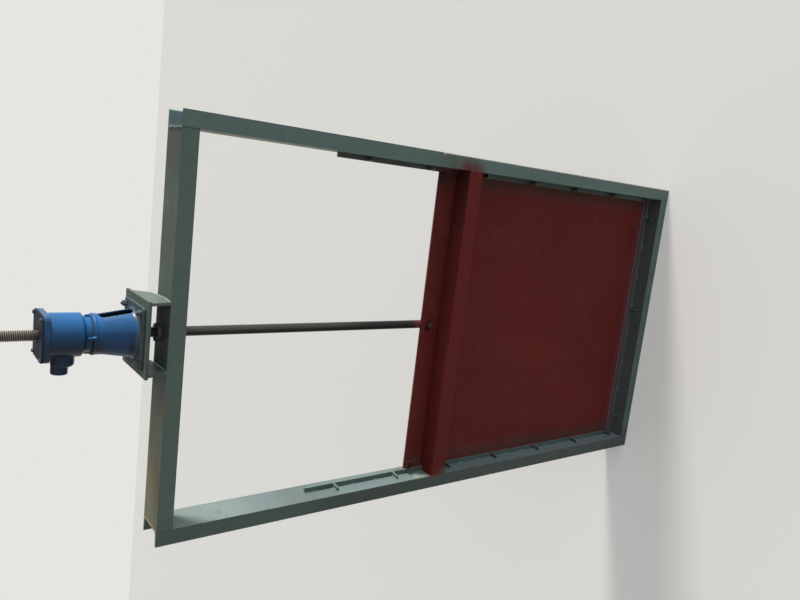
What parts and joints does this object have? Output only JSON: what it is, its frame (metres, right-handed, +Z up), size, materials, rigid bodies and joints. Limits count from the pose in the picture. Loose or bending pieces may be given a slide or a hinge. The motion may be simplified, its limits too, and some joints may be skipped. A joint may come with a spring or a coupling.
{
  "type": "sluice gate",
  "caption": "Sluice gate: welded channel frame, plate leaf that slides behind guide bars, rising threaded stem and cast hoist on a bracket on top.",
  "frame": {"origin": "on the back plane of the frame's flanges, which lies against the wall, at the middle of the sill's bottom edge", "axes": "+Z up along the stem, +X to the right seen from the front, +Y from the front of the frame towards the wall"},
  "size_m": [1.516, 0.262, 3.3],
  "materials": {
    "green_paint": "satin grey-green paint, worn at edges",
    "red_primer": "matt red oxide primer",
    "blue_paint": "glossy blue paint on a casting",
    "stem_steel": "dark threaded steel, bright on the thread's crests",
    "dark_iron": "dark cast collar",
    "nut_bronze": "dull bronze",
    "seal_rubber": "black rubber"
  },
  "bodies": {
    "frame": {"left_side_channel": "green_paint", "right_side_channel": "green_paint", "top_crossbeam": "green_paint", "sill_channel": "green_paint", "left_guide_bar": "green_paint", "right_guide_bar": "green_paint", "left_guide_ribs": "green_paint", "right_guide_ribs": "green_paint", "sill_stop_bar": "green_paint", "sill_stop_ribs": "green_paint", "left_keeper_bar": "green_paint", "right_keeper_bar": "green_paint", "left_bracket_plate": "green_paint", "right_bracket_plate": "green_paint", "hoist_base_plate": "green_paint", "lintel_beam": "red_primer", "stem_collar": "dark_iron", "drive_nut": "nut_bronze", "hoist_pedestal": "blue_paint", "gear_housing": "blue_paint", "housing_cover": "blue_paint"},
    "leaf": {"skin_plate": "red_primer", "left_edge_rib": "red_primer", "right_edge_rib": "red_primer", "top_rib": "red_primer", "bottom_rib": "red_primer", "cross_ribs": "red_primer", "upright_ribs": "red_primer", "left_guide_shoe": "red_primer", "right_guide_shoe": "red_primer", "stem_cheeks": "red_primer", "stem_bolt": "red_primer", "left_side_seal": "seal_rubber", "right_side_seal": "seal_rubber", "top_seal": "seal_rubber", "bottom_seal": "seal_rubber", "stem": "stem_steel"}
  },
  "joints": [
    {"name": "leaf_lift", "type": "slide", "parent": "frame", "child": "leaf", "axis": [0, 0, 1], "range_m": [0, 1.1]}
  ]
}
